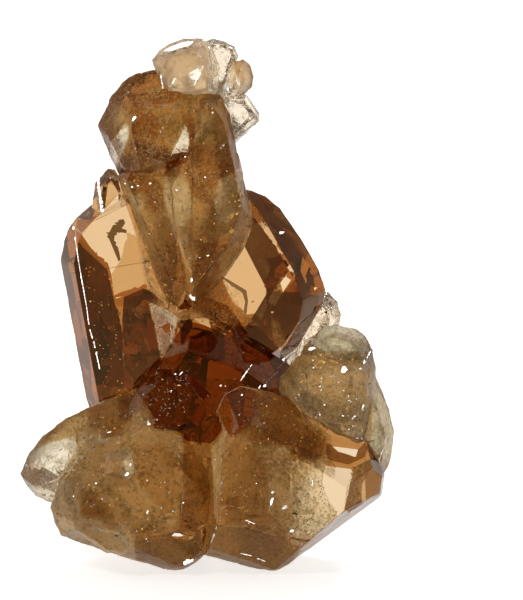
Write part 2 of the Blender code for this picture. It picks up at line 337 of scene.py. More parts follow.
def tilted_plates(places, size, slope, step, seed):
    """Depth of a surface broken into small tilted plates.

    Space is split into the cells nearest to random points about size apart. In each cell the depth is its own
    random level, up to step, plus the way from the cell's point times its own random slope.
    """
    base = np.floor(places / size)
    nearest = np.full(len(places), np.inf)
    depth = np.zeros(len(places))
    for offset in np.ndindex(3, 3, 3):
        corner = base + np.array(offset) - 1
        lot = chance(corner, seed, 7)
        way = places - (corner + lot[:, :3]) * size
        gap = (way ** 2).sum(axis=1)
        level = step * lot[:, 3] + slope * (way * (lot[:, 4:] * 2 - 1)).sum(axis=1)
        closer = gap < nearest
        nearest[closer] = gap[closer]
        depth[closer] = level[closer]
    return depth


def swell(places, size, seed):
    """A smooth random height, mostly from -1 to 1: a sum of plane waves about size long, in random ways."""
    draw = np.random.default_rng(seed)
    ways = draw.normal(size=(WAVES, 3))
    ways /= np.linalg.norm(ways, axis=1, keepdims=True)
    ways *= 2 * math.pi / (size * draw.uniform(0.6, 1.7, (WAVES, 1)))
    start = draw.uniform(0, 2 * math.pi, WAVES)
    return np.sin(places @ ways.T + start).sum(axis=1) / math.sqrt(WAVES)


def new_piece(name, places, faces, finish, tint=None, etched=None, edge_angle=CREASE):
    """A piece of the cluster. tint is a colour for each face and etched runs from 0 to 1 at each corner."""
    mesh = bpy.data.meshes.new(name)
    mesh.from_pydata(places * MM, [], faces)
    mesh.materials.append(finish)
    if tint is None:
        tint = np.ones((len(faces), 3))
    rgba = np.column_stack([tint, np.ones(len(tint))]).astype(np.float32)
    mesh.attributes.new("tint", "FLOAT_COLOR", "FACE").data.foreach_set("color", rgba.ravel())
    if etched is None:
        etched = np.ones(len(places))
    mesh.attributes.new("etched", "FLOAT", "POINT").data.foreach_set("value", etched.astype(np.float32))
    mesh.shade_smooth()
    mesh.set_sharp_from_angle(angle=edge_angle)
    piece = bpy.data.objects.new(name, mesh)
    bpy.context.scene.collection.objects.link(piece)
    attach(piece, "root")
    return piece


APATITE_IOR = 1.635
CLOUDS = 330.0  # the patterns of the skin, each with about this many repeats in a metre
GRAINS = 3000.0
SPECKS = 5200.0
PITS = 3600.0
PATCHES = 750.0
BENDS = 900.0
BEND = 0.001  # metres by which the patches' borders are bent
PIT_DEPTH = 0.05
POLISHED = (0.015, 0.09)  # the least and the greatest roughness of a bright face, and of an etched one
MATT = (0.45, 0.2)


def crystal_finish(name, absorbed, density, gleam, grains, dusty, matt_share):
    """A see-through crystal that is bright on its growth faces and matt where it was etched.

    Light is absorbed evenly on its way through, and once more by the tint of the face that it passes. What
    a face mirrors has the colour of the gleam. Where the etched attribute is high, the face has fine pits and
    is matt. There the three colours in grains tint it too, and it has specks of the dusty colour, of which
    matt_share isn't see-through.
    """
    material = bpy.data.materials.new(name)
    material.use_nodes = True
    tree = material.node_tree
    shader = tree.nodes["Principled BSDF"]
    shader.inputs["IOR"].default_value = APATITE_IOR
    shader.inputs["Specular Tint"].default_value = (*gleam, 1)
    inside = add(tree, "ShaderNodeVolumeAbsorption", {"Color": (*absorbed, 1), "Density": density})
    tree.links.new(inside.outputs["Volume"], tree.nodes["Material Output"].inputs["Volume"])

    def calculated(operation, one, other):
        return add(tree, "ShaderNodeMath", {0: one, 1: other}, operation=operation).outputs["Value"]

    def summed(*parts):
        """The sum of (value, weight) pairs."""
        first, *others = (calculated("MULTIPLY", value, weight) for value, weight in parts)
        for other in others:
            first = calculated("ADD", first, other)
        return first

    where = add(tree, "ShaderNodeTexCoord").outputs["Object"]

    def noise(scale, detail, **more):
        sizes = {"Vector": where, "Scale": scale, "Detail": detail, **more}
        return add(tree, "ShaderNodeTexNoise", sizes).outputs

    cloud = noise(CLOUDS, 4.0)["Fac"]
    grain = noise(GRAINS, 4.0, Roughness=0.7)["Fac"]
    speck = noise(SPECKS, 2.0, Roughness=0.7)["Fac"]
    pits = add(tree, "ShaderNodeTexVoronoi", {"Vector": where, "Scale": PITS}).outputs
    bent = add(tree, "ShaderNodeVectorMath", {0: noise(BENDS, 2.0)["Color"], 1: (BEND, BEND, BEND), 2: where},
               operation="MULTIPLY_ADD").outputs["Vector"]
    patch = add(tree, "ShaderNodeTexVoronoi", {"Vector": bent, "Scale": PATCHES}).outputs["Color"]

    share = add(tree, "ShaderNodeAttribute", attribute_name="etched").outputs["Fac"]
    ragged = calculated("ADD", share, calculated("MULTIPLY", calculated("SUBTRACT", grain, 0.5), 1.2))
    etched = span(tree, ragged, (0.4, 0.6), (0, 1))
    level = calculated("ADD", summed((grain, 0.7), (cloud, 0.3)), span(tree, patch, (0, 1), (-0.045, 0.045)))
    skin = ramp(tree, level, [(0.42, grains[0]), (0.49, grains[1]), (0.60, grains[2])])
    dust = calculated("MULTIPLY", span(tree, summed((speck, 0.7), (cloud, 0.3)), (0.52, 0.6), (0, 1)), etched)
    tint = add(tree, "ShaderNodeAttribute", attribute_name="tint").outputs["Color"]
    coloured = mix(tree, etched, tint, skin, "RGBA", "MULTIPLY")
    dusted = mix(tree, calculated("MULTIPLY", dust, 0.12), coloured, (*dusty, 1), "RGBA")
    tree.links.new(dusted, shader.inputs["Base Color"])
    roughness = mix(tree, etched, span(tree, cloud, (0.5, 0.75), POLISHED),
                    span(tree, pits["Color"], (0.85, 1), MATT))
    tree.links.new(roughness, shader.inputs["Roughness"])
    tree.links.new(span(tree, dust, (0, 1), (1, 1 - matt_share)), shader.inputs["Transmission Weight"])
    height = calculated("MULTIPLY", calculated("ADD", pits["Distance"], grain), etched)
    bump = add(tree, "ShaderNodeBump", {"Height": height, "Strength": 0.6, "Distance": PIT_DEPTH * MM})
    tree.links.new(bump.outputs["Normal"], shader.inputs["Normal"])
    return material


BROWN = (0.79, 0.58, 0.26)
BROWN_DENSITY = 130.0  # how strongly a metre of it takes the light that isn't brown
BROWN_SMOKE = np.array([0.55, 1.07, 1.88])  # how much more a smoke of 1 takes of red, green and blue
BROWN_GRAINS = [(0.26, 0.24, 0.13), (0.76, 0.75, 0.62), (1.0, 1.0, 0.9)]
BROWN_GLEAM = (0.95, 0.55, 0.22)
BROWN_DUST = (0.9, 0.55, 0.12)
BROWN_PLATES = (1.3, 0.08, 0.06)  # size, slope and step of the plates that etching left
BROWN_DEEPEST = 0.35  # the deepest that etching goes
WEAR = 0.025  # how far sharp edges are worn down, how much more if they are etched, and how much it varies
ETCHED_WEAR = 0.03
WEAR_VARIES = 0.6
TURNED_AWAY = 0.3  # bright edges that face further back than this aren't worn
SWELL_HEIGHT = 0.03
TOWER_LEVEL = -5.0  # how far the tower's columns stand in front of the leaning plane of blade and barrel
BLADE_LEAN = 0.165
BLADE_MIDDLE = 17
# Zones of the skin as it shows from the front: smoke, etching from 0 to 1, outline, and for some the share of
# light let through by a neutral grey darkening, which is painted shade. The later ones lie on top.
FRONT_ZONES = {
    # the dark crystal, its glittering left end, the band over it, and in that a light line, the top bevel
    # face, whose lighter tint is painted light
    "heart": [
        (3.3, 0.1, [(-6.5, 16), (-4, 18.2), (-2.2, 20.6), (-1.4, 21.6), (2, 22.2), (5, 21), (7, 18.5),
            (7, 15), (4.3, 15.6), (3, 15.9), (1.6, 15.2), (0.8, 13.7), (1.4, 12.2), (0.4, 11), (-1.6, 11.2),
            (-2.2, 12), (-4.4, 12.3), (-4.6, 13.6), (-5.6, 15)]),
        (3.1, 0.3, [(-6.3, 12), (-6.3, 14.5), (-4.2, 17.3), (-1.4, 17.4), (-1.2, 14.5), (-3.5, 12)]),
        (1.5, 0.2, [(-2.4, 22.6), (-0.8, 23.4), (1.3, 24.9), (3.3, 21.8), (2, 20.3), (-1.2, 21.2)]),
        (0.8, 0, [(-1.3, 22.1), (-0.2, 21.6), (1.9, 20.4), (1.6, 20.1), (-1, 21.3)]),
    ],
    # the window, its lower part, dark strips beside and over it, the spur's window, two panes below it,
    # two dark bars, a pale triangle with a bright spot, a dark stroke of painted shade in the window,
    # the left side
    "blade": [
        (0.45, 0, [(-10.5, 28.6), (-7.4, 31.9), (-6.9, 31.5), (-5.9, 28.4), (-5.2, 24.3), (-5.5, 24.2),
            (-7.2, 23.7), (-7.8, 23.4), (-8, 25.2), (-8.3, 26.1), (-9.9, 27.6)]),
        (0.95, 0, [(-7.2, 26.4), (-6.6, 28.7), (-5.9, 28.4), (-5.2, 24.3), (-7.2, 23.7), (-7.8, 23.4),
            (-8, 25.2)]),
        (2.2, 0, [(-11, 28.9), (-10.5, 28.6), (-9.9, 27.6), (-8.3, 26.1), (-8, 25.2), (-7.8, 23.4),
            (-7.6, 22.9), (-7.1, 19.8), (-6.9, 15), (-8.7, 14.3), (-9, 17.4), (-9.9, 21.4), (-10.6, 25.4)]),
        (2.2, 0, [(-10.9, 29.8), (-9.2, 30.1), (-10.5, 28.7), (-11, 29.2)]),
        (0.9, 0, [(-8.6, 31.2), (-8.9, 33.5), (-7.9, 34.1), (-7.2, 32.6), (-7.4, 31.9)]),
        (1.7, 0.2, [(-7.6, 22.5), (-5.3, 22.4), (-5.2, 20), (-7, 19.7)]),
        (1.5, 0.2, [(-7, 19.7), (-5.2, 20), (-4.6, 18), (-4.9, 16.8), (-6.9, 15)]),
        (2.2, 0, [(-7.8, 23.4), (-7.2, 23.7), (-5.5, 24.2), (-5.2, 24.3), (-4.2, 23.1), (-5.3, 22.4),
            (-7.6, 22.5)]),
        (2.2, 0, [(-5.3, 23.5), (-5, 23.2), (-3.9, 18.1), (-4.5, 17.9), (-5.2, 20)]),
        (0.0, 0.65, [(-4.9, 22.9), (-2.9, 22), (-2, 21.1), (-3.8, 17.9), (-4.4, 21)]),
        (0.0, 0, [(-4, 20.7), (-3.2, 21.2), (-2.7, 20.7), (-3.3, 20.3)]),
        (1.2, 0, [(-7.0, 29.9), (-7.6, 29.5), (-8.35, 28.6), (-7.95, 27.6), (-7.4, 26.3), (-7.2, 26.4),
            (-7.4, 27.4), (-7.8, 28.3), (-7.4, 28.75), (-6.7, 28.65), (-6.6, 28.9), (-7.1, 29.05),
            (-6.8, 29.5)], 0.25),
        (2.2, 0.0, [(-12.5, 26.2), (-11.6, 29), (-11.2, 29.4), (-10.6, 25.4), (-9.9, 21.4), (-9, 17.4),
            (-8.6, 14.3), (-10.5, 14), (-11, 16.3), (-12, 21)]),
    ],
    # all of it, the window, the etched band under it with a light patch, two dark strokes at the window,
    # the first with painted shade, three small windows
    "barrel": [
        (2.0, 0, [(1.1, 25), (3.3, 21.8), (4.6, 20.5), (7, 18), (9, 19.5), (11, 24), (9, 28), (6, 31.5),
            (3.5, 33), (3.9, 29.5)]),
        (0.65, 0, [(1.2, 26.8), (3.1, 28.2), (4.1, 29.5), (5, 29.6), (5.8, 28.9), (5.9, 27.6), (6.5, 26.9),
            (5.1, 26.3), (5.4, 25.8), (4.9, 24.6), (5.1, 22.3), (4.6, 21.3), (4.1, 21.9), (3.3, 21.8),
            (1.3, 25)]),
        (1.8, 0.5, [(-1.5, 23.5), (0.9, 25.6), (1.3, 25), (1.9, 23.6), (3, 22.1), (3.3, 21.8), (4.6, 20.8),
            (-1.5, 21)]),
        (0.7, 0.4, [(1.3, 24.9), (2, 24.2), (3, 23.8), (3.2, 23), (3, 22.3), (2.5, 22.5), (1.9, 23.4)]),
        (1.0, 0, [(1.25, 25.05), (2.3, 24.55), (3.35, 23.85), (3.5, 23), (3.35, 21.7), (3.1, 22),
            (3.25, 22.9), (3.05, 23.65), (2.2, 24.15), (1.3, 24.85)], 0.3),
        (2.2, 0, [(5, 26.5), (5.6, 26.6), (6.6, 27), (6.3, 26.2), (5.6, 25.6), (5, 24.7), (5.3, 25.6),
            (5.5, 26)]),
        (0.4, 0, [(5.1, 22.9), (5.7, 22.5), (7.1, 24.7), (6.5, 25.3)]),
        (0.4, 0, [(6.7, 25.7), (7.4, 26.4), (7.8, 25.9), (7.2, 25.3)]),
        (0.7, 0, [(5.4, 21.7), (6.2, 21), (6.7, 19.8), (6.3, 18.6), (5.6, 19.6)]),
    ],
    # all of it, the lobe, its brown top, dark corners, grown-on plates, the underside with painted shade,
    # the right flank, the block, the lobe's window
    "left foot": [
        (0.35, 1, [(-17, 14.2), (-9.9, 14.3), (-7.3, 14.9), (-5.9, 15.4), (-4.6, 13.6), (-4.4, 12.3),
            (-2.2, 12), (-1.8, 10.7), (-1.9, 7), (-2.3, 5), (-2.2, 3.6), (-6, 3), (-6, 2), (-9, 1),
            (-17, 2)]),
        (-0.2, 0.65, [(-17, 6), (-17, 12), (-12, 12.3), (-11, 10.8), (-11.8, 9), (-12.6, 7.3),
            (-13.5, 6.1)]),
        (0.75, 1, [(-14.6, 10.4), (-13.5, 12.4), (-11, 13.6), (-8.5, 14.4), (-7.1, 15), (-7, 14),
            (-7.3, 13), (-8.5, 12), (-9.8, 12.2), (-11.7, 11.4), (-13.4, 10.9)]),
        (1.8, 1, [(-7.3, 15), (-5.9, 15.4), (-4.9, 14.4), (-5.3, 13.9), (-6, 13.7), (-6.5, 12.9),
            (-7.3, 13), (-7.5, 13.7)]),
        (1.2, 1, [(-8.5, 12.5), (-7, 13), (-6.9, 12), (-7.3, 11.6), (-8.4, 11.5)]),
        (0.15, 1, [(-9.8, 12), (-8.5, 11.5), (-7.2, 11.5), (-7.2, 11), (-8.5, 10.9), (-9.4, 10.8)]),
        (0.7, 1, [(-5.9, 10.8), (-3.8, 10.9), (-2.9, 10.2), (-2, 9.5), (-2, 6), (-3.2, 5.2), (-4.9, 6.6),
            (-5.8, 8.7)]),
        (0.3, 1, [(-4.8, 11.2), (-4.5, 12.1), (-3, 11.9), (-1.9, 10.9), (-2, 10.2), (-2.9, 10.2),
            (-3.8, 10.9)]),
        (0.3, 0.9, [(-3.2, 5.2), (-2, 6), (-2, 4.6), (-3, 4)]),
        (-0.4, 1, [(-13.3, 5.6), (-12.6, 7.3), (-12, 8), (-11, 7.6), (-10.6, 6.4), (-10.7, 5), (-11.4, 3),
            (-12.6, 3.2)]),
        (1.0, 1, [(-10.6, 6.6), (-9.5, 7.2), (-8, 5.7), (-8, 5), (-9.8, 4.9), (-10.5, 5.2)]),
        (-0.35, 1, [(-11.4, 3), (-10.7, 4.8), (-9, 4.6), (-8.1, 3.4), (-8, 1.6), (-10.2, 2)]),
        (0.9, 0.7, [(-6, 2.9), (-2.6, 3.1), (-0.8, 2.8), (0, 1.5), (-0.5, -1), (-6, 0.4)], 0.65),
        (0.8, 1, [(-5.9, 3), (-3.2, 3.1), (-3.3, 3.9), (-5.9, 4.2)]),
        (0.0, 1, [(-8.1, 1.6), (-8, 3.4), (-7.2, 4.3), (-6.5, 4), (-6, 3.1), (-6, 2.3), (-6.6, 1.6)]),
        (1.4, 1, [(-1.8, 10.7), (0.4, 11), (0.6, 5.4), (-0.2, 4), (-2.2, 3.6), (-2.3, 5), (-1.9, 7)]),
        (0.0, 1, [(-8.6, 10), (-6.9, 10.7), (-6.3, 10.3), (-5.8, 8.7), (-6.5, 8), (-7, 8.1), (-7.1, 9.5)]),
        (0.0, 0, [(-15.2, 8.9), (-14.2, 9.4), (-14.1, 9.9), (-13.2, 10), (-12.1, 10.7), (-11.6, 10.1),
            (-12.1, 8.6), (-13.4, 7.4), (-14.6, 7.4)]),
    ],
    # all of it, the dark top, olive and orange bands below it, darker left half, a dark spot, the
    # underside and the band over it, pale lower right, window, the bands over it, a small window,
    # facets at the right; the underside, the first band over the window and the facets carry painted shade
    "right foot": [
        (0.35, 1, [(0.4, 11), (1.4, 12.2), (0.8, 13.7), (1.6, 15.2), (3, 15.9), (7, 15), (8.2, 13.2),
            (10.5, 11.5), (10.2, 10), (9.8, 8.8), (9.2, 7), (10, 6), (7, 4.2), (6.9, 3.2), (1, 3.7),
            (0.6, 5.4)]),
        (2.3, 0.3, [(0.9, 14), (1.7, 15.2), (3, 15.9), (4.1, 15.5), (4.3, 13.9), (3.8, 12.6), (2.9, 12),
            (2, 11.6), (1.5, 12.4)]),
        (1.1, 1, [(4.2, 15.4), (7, 15), (8, 13.4), (8.8, 12.5), (8.4, 11), (4.2, 10.8), (3, 12),
            (4.2, 13.6)]),
        (1.5, 1, [(5, 12.1), (8.6, 12.5), (8.1, 11), (5.2, 11)]),
        (1.5, 1, [(7.4, 11.2), (8.9, 12.4), (10.2, 11.5), (10.2, 10.5), (9.6, 9.8), (7, 9.7)]),
        (0.75, 1, [(1.4, 11.6), (4, 10.8), (4.8, 9.5), (5.2, 8.6), (5.2, 5.4), (1.2, 5.6), (1.3, 8)]),
        (1.5, 1, [(1.3, 6.3), (2.6, 6.3), (2.9, 5.7), (1.6, 5.6)]),
        (0.8, 1, [(1, 5.5), (5, 5.6), (6.5, 4.3), (6.9, 3.1), (3.4, 4), (0.8, 4.3)]),
        (0.9, 0.7, [(0.3, 4.2), (3.4, 4), (6.9, 3), (6.8, 2.5), (8, 2), (6, -0.5), (0, 1)], 0.7),
        (0.05, 0.8, [(6.9, 3.2), (7, 4.2), (7.4, 5), (7, 6.4), (7.6, 7.6), (8.8, 8.8), (9.9, 9.2), (9.6, 8),
            (10.4, 6.2), (11, 5.1), (9.6, 3.7), (8.7, 3)]),
        (0.0, 0, [(10, 9.2), (12.2, 8.9), (11.9, 7), (11.5, 5.5), (11, 5), (10.4, 6.2), (9.9, 7),
            (9.6, 8)]),
        (1.7, 0.3, [(10.1, 11.2), (10.7, 10.8), (12.7, 10.5), (13.3, 11.1), (13.6, 10.7), (13.3, 9.9),
            (12.6, 9.6), (11.9, 9.3), (10.2, 9.7), (10, 10.2)], 0.6),
        (0.0, 0, [(10.7, 10.8), (11, 10.4), (12.5, 9.9), (12.7, 10.5)]),
        (0.0, 0, [(7.05, 3.1), (8.4, 2.7), (8, 2.35), (7.1, 2.6)]),
        (1.2, 0.2, [(12.3, 9), (13.2, 9.5), (14.8, 10.2), (15.2, 8), (14.8, 6.6), (13.4, 6.1), (13.3, 8),
            (12.8, 8.5)], 0.45),
        (1.2, 1, [(12.2, 8.8), (13.3, 9.4), (13.3, 8.1), (13.1, 6), (12, 5.3), (11.6, 5.6),
            (11.9, 7)], 0.6),
        (0.2, 0.6, [(13, 7.6), (13.3, 8.1), (13.3, 6.1), (13.05, 6)]),
    ],
    # two columns with a tan strip between them; top, light patch, foot and flank of the left one; top,
    # right side and foot of the right one
    "tower": [
        (1.14, 1, [(-7.6, 33.4), (-6.8, 21.5), (4.5, 21.5), (5, 33.4)]),
        (2.0, 1, [(-6.6, 33.2), (-4.2, 33.2), (-3.7, 32.6), (-3.5, 30.8), (-4.2, 30.2), (-4.8, 31),
            (-5, 32), (-6.2, 32)]),
        (0.51, 1, [(-6.6, 31.7), (-5.6, 31.9), (-5.2, 31.2), (-5.6, 30.2), (-5.9, 29.4)]),
        (0.91, 1, [(-5.8, 29.6), (-5, 30.4), (-4.4, 29.6), (-4.6, 28.4), (-5.4, 28)]),
        (1.77, 1, [(-4.9, 26), (-3, 25.6), (-1.9, 26), (-1.6, 24.2), (-1.5, 22), (-3.6, 23.2),
            (-4.5, 24.6)]),
        (1.54, 1, [(-3.6, 28), (-2.5, 28.2), (-1.8, 25.6), (-2.4, 24.6), (-2.9, 26)]),
        (0.62, 1, [(-3.7, 32.6), (-3, 33.4), (-1.6, 33), (-1.1, 32.2), (-1.3, 30), (-1.9, 28.6),
            (-2.5, 28.2), (-3, 29.4), (-3.4, 31)]),
        (0.39, 0.8, [(-2.4, 28.2), (-1.6, 28.7), (-1.4, 27.8), (-2.2, 27)]),
        (0.74, 1, [(-2.2, 27), (-1.2, 27.8), (-0.7, 27), (-1.3, 25.4), (-1.7, 25.2)]),
        (1.31, 1, [(-1.3, 32), (0.3, 32.6), (0.7, 31), (1, 28.4), (0, 27.6), (-1.2, 28), (-1.2, 30)]),
        (0.45, 1, [(0.4, 33), (3, 33.8), (3.4, 31), (2, 29.6), (1, 29), (0.7, 31)]),
        (1.89, 1, [(-1, 25.6), (-0.5, 27.4), (0.4, 28.2), (1.6, 28), (3.1, 28.3), (1.2, 26.9), (1.1, 25.4),
            (-0.6, 22)]),
    ],
    # all of it, the smooth rim on the left, the dark band under the crown, the dark middle in parts, the
    # olive right column, a pale strip, a round spot, a pale triangle over a dark pit
    "head": [
        (1.25, 1, [(-12, 46), (-12, 34.3), (-7.6, 33.2), (-1.4, 33.4), (0.3, 36), (6, 33), (6, 46)]),
        (1.62, 0.4, [(-9.5, 37.6), (-8.8, 38.8), (-7.8, 41), (-5.9, 43), (-4.2, 43), (-3.6, 41),
            (-5.3, 40.4), (-6.5, 39.5), (-7, 38), (-7.2, 37.5), (-8, 36), (-8.5, 35.5)]),
        (0.88, 0.8, [(-8.7, 38), (-8.2, 39.2), (-7.2, 39.6), (-6.6, 38.6), (-7.2, 37.8), (-7.8, 37)]),
        (2.38, 1, [(-6.8, 40.3), (-5.2, 40.3), (-3.9, 40.8), (-2.2, 40.8), (-2, 40), (-3, 39.5), (-5, 39.4),
            (-5.9, 39.2)]),
        (2.12, 1, [(-6.4, 39.2), (-5, 39.2), (-4.2, 38.4), (-3.6, 37), (-4.4, 36.2), (-5.2, 36.6),
            (-6.2, 36.6)]),
        (2.88, 1, [(-6.3, 36.4), (-5.2, 36.4), (-4.4, 36), (-3.2, 35.8), (-2.9, 35.1), (-3.6, 34.7),
            (-5, 35), (-6.4, 35.2)]),
        (2.12, 1, [(-6.4, 35), (-5, 34.8), (-4.9, 34), (-3.6, 33.4), (-6.4, 33)]),
        (1.38, 1, [(-4.9, 34.6), (-3.5, 34.6), (-3.4, 33.6), (-4.6, 33.7)]),
        (1.94, 1, [(-1.5, 36), (0.5, 35.8), (2.3, 36.2), (2.8, 34.2), (1, 33), (0.6, 31), (-1.2, 31.6),
            (-1.8, 33.6)]),
        (0.88, 1, [(-0.9, 38.4), (0.9, 38.6), (0.4, 36.6), (-0.9, 36.4)]),
        (2.12, 1, [(-1.7, 38.2), (-1.1, 38.2), (-0.9, 36.6), (-1.3, 36), (-1.6, 37.2)]),
        (0.0, 0.3, [(-6.9, 37.7), (-6.5, 37.6), (-6.5, 36.6), (-6.9, 35.6), (-7.2, 34.9), (-7.7, 33.8),
            (-8.3, 34.4), (-8, 36.3), (-7.4, 36.9)]),
        (2.5, 0.3, [(-7.3, 33.6), (-7.3, 34.5), (-6.8, 35.1), (-6.2, 34.9), (-6, 33.6), (-6.6, 33)]),
        (0.0, 0, [(-1.7, 37.6), (-1.35, 36.3), (-1.6, 35.4), (-2.2, 35.4), (-3, 35), (-2.5, 36)]),
        (3.0, 0.3, [(-3.4, 34), (-3.3, 34.6), (-2.8, 35.2), (-2, 35.4), (-1.5, 35.2), (-1.7, 34.5),
            (-2.7, 34.1), (-3.6, 33.3)]),
    ],
}
FRONT_ELSE = (1.1, 0.2)
BACK_ELSE = (0, 0)
BACK_ZONES = [  # behind head, feet and tower
    (0, 1, [(-12, 46), (-12, 33.2), (6, 32), (6, 46)]),
    (0, 1, [(-17, -2), (-17, 16), (9, 16), (9, -2)]),
    (0, 1, [(-6.7, 33.2), (-5.7, 28.4), (-5, 24.3), (-3.5, 22), (1, 22), (1.2, 26.8), (3, 28.3), (4, 29.8),
            (3.6, 33.2)]),
]


def spread(corners, at_face, count, rounds):
    """Evens out values of faces with those of the faces round them; also gives the values at the corners."""
    for _ in range(rounds):
        total = np.bincount(corners.ravel(), np.repeat(at_face, 3), count)
        met = np.bincount(corners.ravel(), minlength=count)
        at_corner = total / met
        at_face = at_corner[corners].mean(axis=1)
    return at_face, at_corner


def zones_of(places, corners, across):
    """Smoke, etching and the light let through by painted shade, for each face, by the zone that it lies in.
    """
    u, v, behind = from_front(places[corners].mean(axis=1))
    shows = across @ np.array(AHEAD) < 0
    on_tower = behind + BLADE_LEAN * (v - BLADE_MIDDLE) < TOWER_LEVEL
    smoke, etched = np.where(shows[:, None], FRONT_ELSE, BACK_ELSE).T
    clear = np.ones(len(smoke))
    for crystal, zones in [*FRONT_ZONES.items(), ("back", BACK_ZONES)]:
        side = ~shows if crystal == "back" else shows
        if crystal in ("blade", "barrel", "tower"):
            side = side & (on_tower == (crystal == "tower"))
        for more, skin, outline, *shade_share in zones:
            chosen = side & within(u, v, outline)
            smoke[chosen] = more
            etched[chosen] = skin
            # the fourth number, where a zone has one, is painted shade: a neutral grey darkening of its tint
            clear[chosen] = shade_share[0] if shade_share else 1
    return smoke, etched, clear


def tint_of(smoke, shade_share):
    """A face's colour: two passes through its smoke, never lighter than clear, and two through painted shade.
    """
    return np.minimum(np.exp(-2 * smoke[:, None] * BROWN_SMOKE), 1) * shade_share[:, None] ** 2


def brown_crystals():
    places, corners = flat_faces("brown_cluster")
    for zones in FRONT_ZONES.values():
        for _, _, outline, *_ in zones:
            places, corners = cut_along(places, corners, outline)
    places, corners = cut_small(places, corners, BROWN_EDGE)
    across, outward = directions_of(places, corners)
    smoke, etched_face, shade_share = zones_of(places, corners, across)
    soft_smoke, _ = spread(corners, smoke, len(places), 2)
    smoke += (soft_smoke - smoke) * etched_face
    _, etched = spread(corners, etched_face, len(places), 2)
    relief = tilted_plates(places, *BROWN_PLATES, seed=1) + SWELL_HEIGHT * (1 + swell(places, 1.6, seed=3))
    depth = etched * np.clip(relief, 0, BROWN_DEEPEST)
    turned_away = outward @ np.array(AHEAD) < TURNED_AWAY
    worn = on_outer_edge(places, corners, across) * (turned_away | (etched > 0.5))
    depth += worn * (WEAR + ETCHED_WEAR * etched) * (1 + WEAR_VARIES * swell(places, 0.9, seed=4))
    finish = crystal_finish("brown_apatite", BROWN, BROWN_DENSITY, BROWN_GLEAM, BROWN_GRAINS, BROWN_DUST,
                            0.07)
    sunk = places - outward * np.maximum(depth, 0)[:, None]
    piece = new_piece("brown_crystals", sunk, corners, finish, tint_of(smoke, shade_share), etched)
    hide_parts("brown_cluster")
    return piece


brown = brown_crystals()

# The pale crystals: a later growth of clear crystals, nearly colourless on the crown and the bud, greenish
# grey on the slab. Each is seated tight on the brown faces under it, and its skin is frosted in patches.

PALE_EDGE = 0.22
SEAT_NEAR = 0.5  # corners this close to the brown solid belong to the seat
SEAT_LEFT = 0.02  # what is left between seat and brown face
PALE_PLATES = (0.9, 0.06, 0.05)
PALE_DEEPEST = 0.25
PALE_WEAR = 0.03
PALE_DENSITY = 110.0
PALE_GLEAM = (1, 0.95, 0.85)
PALE_GRAINS = [(0.8, 0.72, 0.54), (0.96, 0.93, 0.82), (1, 1, 0.96)]
PALE_DUST = (1.0, 0.96, 0.86)
GREENISH = (0.77, 0.70, 0.40)
GREENISH_DENSITY = 130.0
GREENISH_GLEAM = (1, 0.9, 0.7)
GREENISH_GRAINS = [(0.34, 0.27, 0.14), (0.72, 0.63, 0.46), (1, 0.96, 0.8)]
GREENISH_DUST = (0.9, 0.84, 0.7)
EVERYWHERE = [(-20, -5), (20, -5), (20, 50), (-20, 50)]
PALE_ZONES = {  # as FRONT_ZONES: each node as a whole, and then its parts in outlines
    "pale_crown": [
        (0.08, 0.36, EVERYWHERE),
        (0.3, 1, [(-4.8, 41), (-4.8, 43.5), (-2.6, 43.6), (-0.9, 44.2), (0.2, 44.6), (0.2, 40), (-4, 40)]),
        (-0.3, 0, [(-1.5, 41.9), (-0.2, 42.7), (-0.5, 41.6), (-1, 40.9)]),
        (0.4, 0.8, [(2.2, 43.2), (3.4, 43.4), (4, 42), (4, 40.8), (3.2, 40), (2.9, 41.2), (2.4, 42.2)]),
    ],
    "pale_side_slab": [
        (0.4, 1, EVERYWHERE),
        (-0.2, 0.7, [(9, 19.2), (9.4, 21.2), (13, 21.2), (13.6, 18.8), (9.8, 18.8)]),
        (-0.2, 0.8, [(14, 18.2), (16.5, 18), (17, 8), (13.8, 10.6), (13.9, 14)]),
    ],
    "pale_back_bud": [
        (0.1, 0.35, EVERYWHERE),
    ],
}


def nearest_on(places, triangles):
    """The nearest point to each place on a set of triangles.

    On a triangle's plane this is the foot of the perpendicular, if it lies in the triangle. On a side it is
    the foot on the side's line, kept between its ends. The nearest of them all is the one.
    """
    here = places[:, None]
    first, second, third = triangles.transpose(1, 0, 2)
    across = np.cross(second - first, third - first)
    across /= np.maximum(np.linalg.norm(across, axis=1, keepdims=True), TINY)
    foot = here - ((here - first) * across).sum(axis=2, keepdims=True) * across
    in_triangle = np.ones(foot.shape[:2], bool)
    found = []
    for start, end in ((first, second), (second, third), (third, first)):
        side = end - start
        in_triangle &= (np.cross(side, foot - start) * across).sum(axis=2) >= 0
        share = ((here - start) * side).sum(axis=2) / np.maximum((side ** 2).sum(axis=1), TINY)
        found.append(start + np.clip(share, 0, 1)[..., None] * side)
    found.append(np.where(in_triangle[..., None], foot, np.inf))
    found = np.concatenate(found, axis=1)
    nearest = ((found - here) ** 2).sum(axis=2).argmin(axis=1)
    return found[np.arange(len(places)), nearest]


def drawn_to_seat(places, seat):
    """Corners near the seat's triangles, moved towards them until SEAT_LEFT is left. The others stay."""
    hit = nearest_on(places, seat)
    away = np.linalg.norm(places - hit, axis=1, keepdims=True)
    return np.where(away < SEAT_NEAR, hit + (places - hit) * SEAT_LEFT / np.maximum(away, TINY), places)


